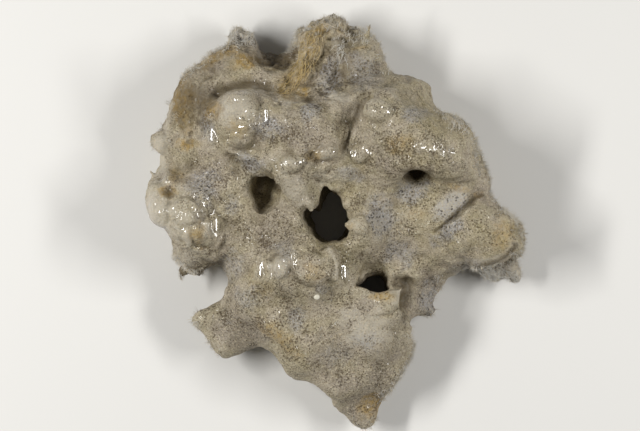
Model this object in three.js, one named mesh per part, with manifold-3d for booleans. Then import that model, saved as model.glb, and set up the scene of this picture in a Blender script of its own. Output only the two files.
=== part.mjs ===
// A lump of sea sponge as collected: rounded lobes that grew as one body, a thin wing at one end,
// a great osculum (outflow hole) right through it, smaller oscula, a pit and creases.
// It lies on its underside, which is cut flat where it left the rock.
// Millimetres, +Z up. +Y runs along its length to the torn crest, +X to the right seen from above.
import * as THREE from "three";
import { ImprovedNoise } from "three/addons/math/ImprovedNoise.js";
import { mergeVertices } from "three/addons/utils/BufferGeometryUtils.js";
import Module from "manifold-3d";

// Driving sizes
const LENGTH = 83; // whole length along Y; every place below is drawn for about this length
const EDGE_ROUNDING = 7; // how far in from the outline the body reaches its full thickness
const FACET = 1.75; // spacing of the surface's vertices
const CUT_DEPTH = 1.5; // how much of the rounded underside the flat cut takes off

// How softly the masses run into each other
const RELIEF_SOFTNESS = 3.4; // distance over which one measured height rounds off
const LUMP_BLEND = 4; // fillet round a lump
const EDGE_BLEND = 2; // rounding of the outermost edge
const HOLE_BLEND = 1.6; // rounding of a hole's rim
const NOISE = [
  { wave: 11, height: 0.7 },
  { wave: 5, height: 0.35 },
];
const FLANK_WANDER = { wave: 8, reach: 2.2 }; // how the flanks lean in and out between top and cut

// Outline seen from above, clockwise from the torn crest
const OUTLINE = [
  // torn crest and the shoulder to its right
  [-0.2, 42.6], [1.9, 40.2], [3.9, 38.1], [7.4, 36.9], [9.6, 33.9], [9.8, 31.4], [11.6, 29.3],
  [13.8, 28], [16.2, 28], [18.2, 26.6], [18.9, 25], [19.7, 21.6],
  // upper right mass
  [23.8, 19.6], [26.4, 16.8], [28.6, 11.9], [30.2, 8], [31.4, 3.6],
  // right lobe and the torn flap under it
  [34.4, 1.4], [36.8, -0.6], [37.1, -4.5], [36.2, -8.9], [38, -13], [33.6, -12.7], [29.2, -13],
  [26.4, -10.3], [23.7, -11], [21.5, -12.7], [20.6, -15.5], [20.6, -18.2], [21, -21.8],
  [18.6, -19.9], [15.4, -21.4],
  // wing, down to its tip and back along its scalloped edge
  [16.2, -24.8], [15, -28.9], [12.5, -33.3], [9.8, -37.1], [8.1, -40.4], [5.8, -42.2], [2.6, -41.6],
  [1.8, -39.2], [-1.2, -37], [-4.2, -34.5], [-7.6, -31.9], [-9.4, -32.1], [-10.3, -30.4], [-11.1, -28],
  [-12.9, -26.2], [-15.4, -26], [-18.1, -27.1],
  // left prong
  [-22.7, -28.5], [-24.6, -26.1], [-26.1, -22.8], [-28.3, -20.6], [-29, -18.8], [-23.8, -15.2],
  [-23.1, -13.3], [-22, -12], [-23.1, -8.9],
  // left lobe
  [-25.8, -10.7], [-27.7, -12], [-30.2, -10], [-32.4, -7.6], [-32.4, -5.6], [-33, -3.4], [-35.2, -1.7],
  [-36.8, 0.5], [-37.2, 3.2], [-36.8, 5.5], [-36.2, 7.9], [-34.6, 10.9], [-34.6, 13.1],
  [-36.2, 15.3], [-35, 17.3],
  // upper left flank and its torn top
  [-33.8, 18.6], [-33.2, 21.9], [-31.9, 26.3], [-30.2, 28.7], [-27.4, 30.2], [-25.6, 32.9],
  [-22.4, 35.2], [-20.2, 37.8], [-17, 37.4], [-16, 35.5],
  // shelf at the back of the bay, then up the torn crest
  [-14.6, 33.9], [-11.4, 33], [-8.8, 33.8], [-8, 36.5], [-5.4, 39.2], [-2.4, 39.9],
];

// Heights read at named places: x, y, top, underside. Undersides of null lie on the cut.
const HEIGHTS = [
  ["torn crest", 1, 38, 12, 2],
  ["crest, left part", -4, 35, 13.5, 1],
  ["crest, hollow", 1, 29, 14.5, null],
  ["crest, right part", 7, 31, 16, null],
  ["ochre flank", -8, 28.5, 14.5, null],
  ["shelf in the bay", -11.6, 32, 6, null],
  ["upper left tip", -19.5, 36, 8, 2],
  ["upper left crown", -20, 32, 14.5, null],
  ["upper left flank", -28, 26, 14.5, null],
  ["outer flank", -31, 21, 11.5, null],
  ["trough, left end", -24.5, 25, 15, null],
  ["trough, middle", -18, 27, 13.5, null],
  ["trough, right end", -12, 26.4, 14.5, null],
  ["pale knob", -19.4, 21, 22, null],
  ["below the knob", -22.5, 15.5, 17.5, null],
  ["long ridge, middle", -10, 18.5, 23, null],
  ["long ridge, right", -1, 17.5, 23, null],
  ["long ridge, front", -9, 13, 22, null],
  ["groove", 2.8, 19, 20.5, null],
  ["upper right knob", 8, 21, 24, null],
  ["upper right shoulder", 17, 24.5, 18.5, null],
  ["upper right crown", 15, 15, 25, null],
  ["upper right flank", 23.5, 13.5, 22, null],
  ["over the cave", 15, 10.8, 23, null],
  ["under the cave", 15.6, 4.8, 15, null],
  ["pale band", 23, 2.5, 16.5, null],
  ["right lobe, crown", 27, -2.5, 19, null],
  ["right lobe, end", 33, -2, 16, 2],
  ["right lobe, front", 27, -7.5, 15, 1],
  ["torn flap", 33.4, -11.2, 7, 0.5],
  ["net trough", 11, 0, 15.5, null],
  ["right lip of the osculum", 4.6, -1, 17.5, null],
  ["upper lip of the osculum", -4, 6.5, 20, null],
  ["ledge over the pit", -9.5, 8.6, 20.5, null],
  ["valley", 12.5, -9.5, 12.5, null],
  ["valley mouth", 17.5, -17, 8, null],
  ["saddle, upper", -19, 9.5, 17, null],
  ["saddle, lower", -14.5, -2, 17.5, null],
  ["left lobe, crown", -28, 0.5, 19.5, null],
  ["left lobe, outer", -33.5, 3, 15.5, 1],
  ["left lobe, front", -28, -7, 14.5, 1],
  ["left lobe groove", -22, -2, 16, null],
  ["neck", -33, 12.5, 10, null],
  ["left wall", -29, 14.5, 14, null],
  ["boss", -7, -10, 20.5, null],
  ["plate, upper left", -15.5, -14.5, 16.5, null],
  ["left prong", -24.5, -20.5, 11, 2.5],
  ["prong foot", -21, -25, 10, 2],
  ["plate, middle", -9, -21, 17, null],
  ["plate, right", 3, -20, 17, null],
  ["plate, edge", 12, -19, 14.5, null],
  ["pale bulge", 7, -23, 16.5, null],
  ["wing, middle", 3, -30.5, 13.5, 1],
  ["wing, edge", 12, -29, 11, 2],
  ["wing tip", 6, -38.5, 8.5, 2],
];

// Rounded lumps that stand out of the relief: centre, radii, turn about Z in degrees
const LUMPS = [
  { name: "pale knob", at: [-19.2, 20.8, 15.5], radii: [6, 5.4, 7.5], turn: 0 },
  { name: "long ridge", at: [-9, 17.4, 15.5], radii: [12, 5.4, 7.6], turn: -8 },
  { name: "ridge nodule", at: [-8.6, 12.2, 18.2], radii: [3.2, 2.8, 4.6], turn: 0 },
  { name: "ridge end", at: [-3.4, 12.8, 18], radii: [3.8, 2.6, 4.6], turn: 25 },
  { name: "ledge over the pit", at: [-8.4, 7.8, 15], radii: [3.2, 5.4, 5.4], turn: 42 },
  { name: "upper right knob", at: [8.4, 20.6, 17.5], radii: [5.2, 4.6, 6.6], turn: 0 },
  { name: "upper right crown", at: [17, 14, 17], radii: [11, 6, 8], turn: -8 },
  { name: "left lobe crown", at: [-28, -0.5, 12.5], radii: [6, 6.4, 7], turn: 15 },
  { name: "left lobe, wet side", at: [-33, 3.4, 10.6], radii: [3.6, 4.4, 5.4], turn: 0 },
  { name: "right lobe", at: [29, -2.6, 11], radii: [8, 5.6, 7.8], turn: 24 },
  { name: "boss, left", at: [-10.4, -9.4, 16.6], radii: [3.8, 3.4, 5], turn: 0 },
  { name: "boss, right", at: [-4.6, -10.6, 15.6], radii: [5, 4, 5.6], turn: -12 },
  { name: "osculum nub", at: [4.4, -1.8, 14.6], radii: [2.4, 2.2, 3.4], turn: 0 },
  { name: "plate spur", at: [10.6, -14.6, 13.6], radii: [3, 1.7, 2.4], turn: 14 },
];

// Holes and hollows: tubes through places with a radius, as x, y, z, radius
const HOLES = [
  ["great osculum, upper half", [0.1, 2.2, 30, 3.2], [0.1, 2.3, 15, 2.9], [0.2, 2.3, -6, 2.9]],
  ["great osculum, lower half", [-1.5, -1.8, 30, 4], [-1.2, -1.7, 16, 3.4], [-0.9, -1.6, -6, 3.2]],
  ["great osculum, left pocket", [-4.6, 0, 25, 2.6], [-3.8, -0.2, 15, 2.4], [-2.2, -0.6, 8, 2]],
  ["plate osculum", [7.8, -10.2, 22, 2.6], [7.8, -11.2, 14, 2.6], [7.6, -13.2, 7, 2.6], [7.6, -13.8, -6, 2.6]],
  ["cave", [15.6, 5.6, 20.5, 2.3], [15.6, 8.6, 16.4, 2.5], [15.2, 12.6, 12, 2.2]],
  ["pit", [-14.4, 4.8, 23, 3.2], [-13.8, 6, 14.5, 2.9], [-12.8, 7.4, 10, 2.4]],
];

// Creases where two masses meet: open grooves along places with a radius, as x, y, z, radius
const CREASES = [
  ["ridge groove", [5.2, 24, 22.6, 1.8], [3.6, 19, 23.6, 1.9], [2.4, 14.6, 22.8, 1.7]],
  ["right lobe crease", [20, -6, 17, 1.2], [23.4, -1.4, 19, 1.6], [26.4, 2.6, 18.4, 1.6], [29, 5, 16, 1.4]],
  ["back trough", [-25.4, 23.6, 18.4, 1.5], [-22.4, 26.4, 17, 2], [-17, 26.8, 16, 2], [-13, 25.4, 17, 1.5]],
  ["left lobe groove", [-21.8, 4, 19.4, 1.6], [-22, -3, 18.6, 1.9], [-23, -8.4, 15.2, 1.6]],
  ["under the right lobe", [27, -12, 8, 1.2], [31, -10.6, 8.8, 1.5], [35.4, -8.6, 9, 1.3]],
];

const { hypot, max, min, abs } = Math;
const perlin = new ImprovedNoise();
const wasm = await Module();
wasm.setup();

// Smooth minimum and maximum of two distances, rounded off over a width
function softMin(a, b, width) {
  const overlap = max(0, width - abs(a - b)) / width;
  return min(a, b) - (overlap * overlap * width) / 4;
}

function softMax(a, b, width) {
  return -softMin(-a, -b, width);
}

// How far a point is inside the outline; negative outside
function makeOutline(points) {
  const stepsPerPoint = 3;
  const places = points.map(([x, y]) => new THREE.Vector3(x, y, 0));
  const curve = new THREE.CatmullRomCurve3(places, true, "centripetal");
  const rim = curve.getPoints(points.length * stepsPerPoint);
  return (x, y) => {
    let nearest = Infinity;
    let inside = false;
    for (let i = 1; i < rim.length; i++) {
      const a = rim[i - 1];
      const b = rim[i];
      const along = ((x - a.x) * (b.x - a.x) + (y - a.y) * (b.y - a.y)) / a.distanceToSquared(b);
      const t = THREE.MathUtils.clamp(along, 0, 1);
      nearest = min(nearest, hypot(x - a.x - t * (b.x - a.x), y - a.y - t * (b.y - a.y)));
      if (a.y > y !== b.y > y && x < a.x + ((y - a.y) / (b.y - a.y)) * (b.x - a.x)) inside = !inside;
    }
    return inside ? nearest : -nearest;
  };
}

// Top and underside at x, y, by weighting the measured heights with their nearness
function reliefAt(x, y) {
  let weights = 0;
  let top = 0;
  let underside = 0;
  for (const [, px, py, high, low] of HEIGHTS) {
    const weight = 1 / ((x - px) ** 2 + (y - py) ** 2 + RELIEF_SOFTNESS ** 2) ** 2.5;
    weights += weight;
    top += weight * high;
    underside += weight * (low ?? -CUT_DEPTH);
  }
  return [top / weights, underside / weights];
}

// Distance to an ellipsoid lump
function lumpDistance({ at, radii, turn }, x, y, z) {
  const angle = THREE.MathUtils.degToRad(turn);
  const dx = x - at[0];
  const dy = y - at[1];
  const u = (dx * Math.cos(angle) + dy * Math.sin(angle)) / radii[0];
  const v = (dy * Math.cos(angle) - dx * Math.sin(angle)) / radii[1];
  const w = (z - at[2]) / radii[2];
  return (hypot(u, v, w) - 1) * min(...radii);
}

// Distance to a tube through places that each have a radius
function tubeDistance([, ...path], x, y, z) {
  let nearest = Infinity;
  for (let i = 1; i < path.length; i++) {
    const [ax, ay, az, ra] = path[i - 1];
    const [bx, by, bz, rb] = path[i];
    const span = (bx - ax) ** 2 + (by - ay) ** 2 + (bz - az) ** 2;
    const along = ((x - ax) * (bx - ax) + (y - ay) * (by - ay) + (z - az) * (bz - az)) / span;
    const t = THREE.MathUtils.clamp(along, 0, 1);
    const away = hypot(x - ax - t * (bx - ax), y - ay - t * (by - ay), z - az - t * (bz - az));
    nearest = min(nearest, away - ra - t * (rb - ra));
  }
  return nearest;
}

// The sponge as one field, negative inside: a cushion over the outline, with lumps, holes and creases
function makeSpongeField() {
  const insideOutline = makeOutline(OUTLINE);
  const { wave: lean, reach } = FLANK_WANDER;
  return (x, y, z) => {
    const [top, underside] = reliefAt(x, y);
    const half = (top - underside) / 2;
    const wander = reach * min(1, half / EDGE_ROUNDING) * min(0, perlin.noise(x / lean, y / lean, z / lean));
    const inset = insideOutline(x, y) + wander;
    const middle = (top + underside) / 2;
    const rounding = max(0, 1 - inset / EDGE_ROUNDING);
    let distance = half * (hypot((z - middle) / half, rounding) - 1);
    for (const lump of LUMPS) distance = softMin(distance, lumpDistance(lump, x, y, z), LUMP_BLEND);
    distance = softMax(distance, -inset, EDGE_BLEND);
    for (const { wave, height } of NOISE) distance += height * perlin.noise(x / wave, y / wave, z / wave);
    for (const tube of [...HOLES, ...CREASES]) {
      distance = softMax(distance, -tubeDistance(tube, x, y, z), HOLE_BLEND);
    }
    return distance;
  };
}

// A place near a field's zero surface moved straight onto it, by no more than a set distance
function settle(field, [x, y, z], farthest) {
  const step = farthest / 8;
  const slope = new THREE.Vector3(
    field(x + step, y, z) - field(x - step, y, z),
    field(x, y + step, z) - field(x, y - step, z),
    field(x, y, z + step) - field(x, y, z - step),
  ).divideScalar(2 * step);
  const move = slope.multiplyScalar(-field(x, y, z) / slope.lengthSq()).clampLength(0, farthest);
  return [x + move.x, y + move.y, z + move.z];
}

// Closed surface where a field crosses zero, by surface nets: one vertex in each cube that the surface
// passes through, and one quad across each cube edge that it cuts.
function makeSurface(field, box, cell) {
  const cubes = box.getSize(new THREE.Vector3()).divideScalar(cell).ceil();
  const count = [cubes.x + 1, cubes.y + 1, cubes.z + 1];
  const stride = [1, count[0], count[0] * count[1]];
  const values = new Float32Array(count[0] * count[1] * count[2]);
  const nodePlace = (n) =>
    stride.map((s, axis) => box.min.getComponent(axis) + cell * (Math.floor(n / s) % count[axis]));
  values.forEach((_, n) => (values[n] = field(...nodePlace(n))));

  const corners = [0, 1, 2, 3, 4, 5, 6, 7].map((c) => [c & 1, (c >> 1) & 1, (c >> 2) & 1]);
  const edges = corners.flatMap((a, i) =>
    corners.map((b, j) => [i, j]).filter(([, j]) => j > i && [1, 2, 4].includes(i ^ j)));
  const positions = [];
  const vertexOf = new Map();
  const makeVertex = (n) => {
    const level = corners.map((c) => values[n + c[0] * stride[0] + c[1] * stride[1] + c[2] * stride[2]]);
    const crossings = edges.filter(([i, j]) => level[i] < 0 !== level[j] < 0);
    const mean = [0, 0, 0];
    for (const [i, j] of crossings) {
      const t = level[i] / (level[i] - level[j]);
      mean.forEach((_, axis) => (mean[axis] += THREE.MathUtils.lerp(corners[i][axis], corners[j][axis], t)));
    }
    const corner = nodePlace(n);
    const place = mean.map((m, axis) => corner[axis] + (cell * m) / crossings.length);
    positions.push(...settle(field, place, cell / 3));
    vertexOf.set(n, positions.length / 3 - 1);
  };
  const vertexIn = (n) => {
    if (!vertexOf.has(n)) makeVertex(n);
    return vertexOf.get(n);
  };
  const gap = (a, b) => hypot(...[0, 1, 2].map((axis) => positions[3 * a + axis] - positions[3 * b + axis]));

  const triangles = [];
  values.forEach((value, n) => {
    for (let axis = 0; axis < 3; axis++) {
      const next = values[n + stride[axis]];
      if (next === undefined || value < 0 === next < 0) continue;
      const b = stride[(axis + 1) % 3];
      const c = stride[(axis + 2) % 3];
      const quad = [n, n - b, n - b - c, n - c].map(vertexIn);
      if (value >= 0) quad.reverse();
      const turn = gap(quad[0], quad[2]) > gap(quad[1], quad[3]) ? 1 : 0; // split along the shorter diagonal
      const [p, q, r, s] = [0, 1, 2, 3].map((i) => quad[(i + turn) % 4]);
      triangles.push(p, q, r, p, r, s);
    }
  });
  const surface = new THREE.BufferGeometry();
  surface.setAttribute("position", new THREE.Float32BufferAttribute(positions, 3));
  surface.setIndex(triangles);
  return surface;
}

// Moves the vertices next to the cut a little away from it, up or down, so that the cut leaves no slivers
function standClear(surface, clearance) {
  const places = surface.attributes.position;
  for (let i = 0; i < places.count; i++) {
    const z = places.getZ(i);
    if (abs(z) < clearance) places.setZ(i, z < 0 ? -clearance : clearance);
  }
}

function toSolid(geometry) {
  const merged = mergeVertices(geometry.deleteAttribute("normal").deleteAttribute("uv"));
  return new wasm.Manifold(
    new wasm.Mesh({
      numProp: 3,
      vertProperties: merged.attributes.position.array,
      triVerts: new Uint32Array(merged.index.array),
    }),
  );
}

function toGeometry(solid) {
  const mesh = solid.getMesh();
  const geometry = new THREE.BufferGeometry();
  geometry.setAttribute("position", new THREE.BufferAttribute(mesh.vertProperties, 3));
  geometry.setIndex(new THREE.BufferAttribute(mesh.triVerts, 1));
  return geometry;
}

// The grown body, cut flat underneath, at its real length and centred over its cut
function makeSponge() {
  const reach = 45; // clear of the outline on every side
  const deepest = -4;
  const highest = 31;
  const low = new THREE.Vector3(-reach, -reach, deepest);
  const high = new THREE.Vector3(reach, reach, highest);
  const grown = makeSurface(makeSpongeField(), new THREE.Box3(low, high), FACET);
  standClear(grown, FACET / 4);
  const rock = new THREE.BoxGeometry(4 * reach, 4 * reach, reach).translate(0, 0, -reach / 2);
  const geometry = toGeometry(toSolid(grown).subtract(toSolid(rock)));

  geometry.computeBoundingBox();
  const { x, y } = geometry.boundingBox.getCenter(new THREE.Vector3());
  const scale = LENGTH / (geometry.boundingBox.max.y - geometry.boundingBox.min.y);
  geometry.translate(-x, -y, 0).scale(scale, scale, scale);
  geometry.computeVertexNormals();

  const wetTissue = new THREE.MeshStandardMaterial({ color: 0xa89e88, roughness: 0.55, metalness: 0 });
  const mesh = new THREE.Mesh(geometry, wetTissue);
  mesh.name = "sponge";
  return mesh;
}

const seaSponge = new THREE.Group();
seaSponge.add(makeSponge());

export default seaSponge;
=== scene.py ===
import math
import bmesh
import bpy
import numpy as np
from mathutils import Euler, Matrix, Vector, noise
from mathutils.bvhtree import BVHTree
from mathutils.kdtree import KDTree


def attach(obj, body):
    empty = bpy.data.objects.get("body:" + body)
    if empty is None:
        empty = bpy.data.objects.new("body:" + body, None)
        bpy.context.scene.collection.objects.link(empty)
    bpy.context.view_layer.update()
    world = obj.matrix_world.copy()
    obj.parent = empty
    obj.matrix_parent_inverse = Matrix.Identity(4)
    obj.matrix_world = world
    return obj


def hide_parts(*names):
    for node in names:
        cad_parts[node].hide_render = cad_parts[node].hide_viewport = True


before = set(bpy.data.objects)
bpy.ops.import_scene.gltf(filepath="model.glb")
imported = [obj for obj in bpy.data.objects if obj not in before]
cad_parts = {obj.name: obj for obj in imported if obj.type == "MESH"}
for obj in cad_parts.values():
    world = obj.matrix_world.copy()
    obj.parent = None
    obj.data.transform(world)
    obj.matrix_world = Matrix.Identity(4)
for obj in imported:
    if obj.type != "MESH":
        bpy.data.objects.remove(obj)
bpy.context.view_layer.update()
scene = bpy.context.scene
mm = 0.001


def linear(hexColour):  # sRGB hex to linear RGBA
    parts = [int(hexColour[i:i + 2], 16) / 255 for i in (1, 3, 5)]
    return [p / 12.92 if p <= 0.04045 else ((p + 0.055) / 1.055) ** 2.4 for p in parts] + [1.0]


# a node with its settings and links; gives one of its outputs
def addNode(tree, kind, settings=None, links=None, out=0):
    node = tree.nodes.new(kind)
    for name, value in (settings or {}).items():
        setattr(node, name, value)
    for socket, source in (links or {}).items():
        if isinstance(source, bpy.types.NodeSocket):
            tree.links.new(source, node.inputs[socket])
        else:
            node.inputs[socket].default_value = source
    return node.outputs[out] if len(node.outputs) else node


def newMaterial(name):
    material = bpy.data.materials.new(name)
    material.use_nodes = True
    material.node_tree.nodes.clear()
    return material, material.node_tree


def newPiece(name, mesh, material):  # a piece of the sponge, riding with it
    piece = bpy.data.objects.new(name, mesh)
    scene.collection.objects.link(piece)
    piece.data.materials.clear()
    piece.data.materials.append(material)
    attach(piece, "root")
    return piece


def readVectors(collection, field):
    values = np.empty(len(collection) * 3, np.float32)
    collection.foreach_get(field, values)
    return values.reshape(-1, 3).astype(float)


def perlin(places, size, shift=0.0):  # noise at places in mm, for bumps of about that size
    return np.array([noise.noise(Vector(p)) for p in places / size + shift])


def smooth(t):
    t = np.clip(t, 0, 1)
    return t * t * (3 - 2 * t)


# seen from above: distance to a line, positive on its left, and the share along it
def lineAt(places, path):
    nearest = np.full(len(places), 1e9)
    signed, share = np.zeros(len(places)), np.zeros(len(places))
    for i, (a, b) in enumerate(zip(path, path[1:])):
        a, span = np.array(a), np.subtract(b, a)
        off = places[:, :2] - a
        along = np.clip(off @ span / (span @ span), 0, 1)
        away = np.hypot(*(off - along[:, None] * span).T)
        closer = away < nearest
        side = np.where(span[0] * off[:, 1] - span[1] * off[:, 0] > 0, 1, -1)
        nearest[closer] = away[closer]
        signed[closer] = (away * side)[closer]
        share[closer] = ((i + along) / (len(path) - 1))[closer]
    return signed, share


def ovalAt(places, x, y, rx, ry, turn=0):  # 0 in an oval's middle, 1 on its rim, seen from above
    c, s = math.cos(math.radians(turn)), math.sin(math.radians(turn))
    dx, dy = places[:, 0] - x, places[:, 1] - y
    return np.hypot((dx * c + dy * s) / rx, (dy * c - dx * s) / ry)


rimNoise = [(2.4, 1.0, 3.1), (1.0, 0.8, 7.7)]  # size in mm, weight and shift of a ragged rim's waves


def ovalMask(places, ovals, ragged=0.25, soft=0.5):  # 1 inside any of the ovals, with a ragged soft rim
    wobble = ragged * sum(weight * perlin(places, size, shift) for size, weight, shift in rimNoise)
    mask = np.zeros(len(places))
    for x, y, rx, ry, turn, *more in ovals:
        inside = smooth((1 + soft / 2 - ovalAt(places, x, y, rx, ry, turn) + wobble) / soft)
        mask = np.maximum(mask, inside * (more[0] if more else 1))
    return mask


# Forms fused to the body or cut out of it, in mm

def skinRings(bm, rings):  # faces round a stack of rings, closed at both ends
    rows = [[bm.verts.new(Vector(p) * mm) for p in ring] for ring in rings]
    for a, b in zip(rows, rows[1:]):
        for i in range(len(a)):
            j = (i + 1) % len(a)
            bm.faces.new((a[i], a[j], b[j], b[i]))
    bm.faces.new(rows[0])
    bm.faces.new(rows[-1])


def addLump(bm, middle, radii, turn=0):
    turned = Euler((0, 0, math.radians(turn)))
    place = Matrix.LocRotScale(Vector(middle) * mm, turned, Vector(radii) * mm)
    bmesh.ops.create_icosphere(bm, subdivisions=3, radius=1, matrix=place)


def addHorn(bm, path, sides=10):  # round spur or roll through places as x, y, z, radius
    rings = []
    for i, (x, y, z, radius) in enumerate(path):
        along = Vector(path[min(i + 1, len(path) - 1)][:3]) - Vector(path[max(i - 1, 0)][:3])
        across = along.cross(Vector((0, 0, 1))).normalized()
        up = across.cross(along).normalized()
        angles = [2 * math.pi * k / sides for k in range(sides)]
        middle = Vector((x, y, z))
        rings.append([middle + radius * (math.cos(t) * across + math.sin(t) * up) for t in angles])
    skinRings(bm, rings)


def roundedOutline(corners, cuts=4):  # a closed curve through the corners
    corners = np.array(corners)
    before, after, later = np.roll(corners, 1, 0), np.roll(corners, -1, 0), np.roll(corners, -2, 0)
    curve = []
    for t in np.arange(cuts) / cuts:
        square = (2 * before - 5 * corners + 4 * after - later) * t ** 2
        cube = (3 * corners - before - 3 * after + later) * t ** 3
        curve.append(corners + 0.5 * ((after - before) * t + (square + cube)))
    return np.stack(curve, axis=1).reshape(-1, 2)


def addShaft(bm, corners, levels):  # a hollow's outline at each height, scaled about its middle and shifted
    outline = roundedOutline(corners)
    middle = outline.mean(axis=0)
    rings = []
    for z, scale, dx, dy in levels:
        ring = middle + (outline - middle) * scale + (dx, dy)
        rings.append([(x, y, z) for x, y in ring])
    skinRings(bm, rings)


def meshOf(bm, name):
    bmesh.ops.recalc_face_normals(bm, faces=bm.faces)
    mesh = bpy.data.meshes.new(name)
    bm.to_mesh(mesh)
    bm.free()
    return mesh


# Sponge body: the solid's form with the small forms added, in mm

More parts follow.
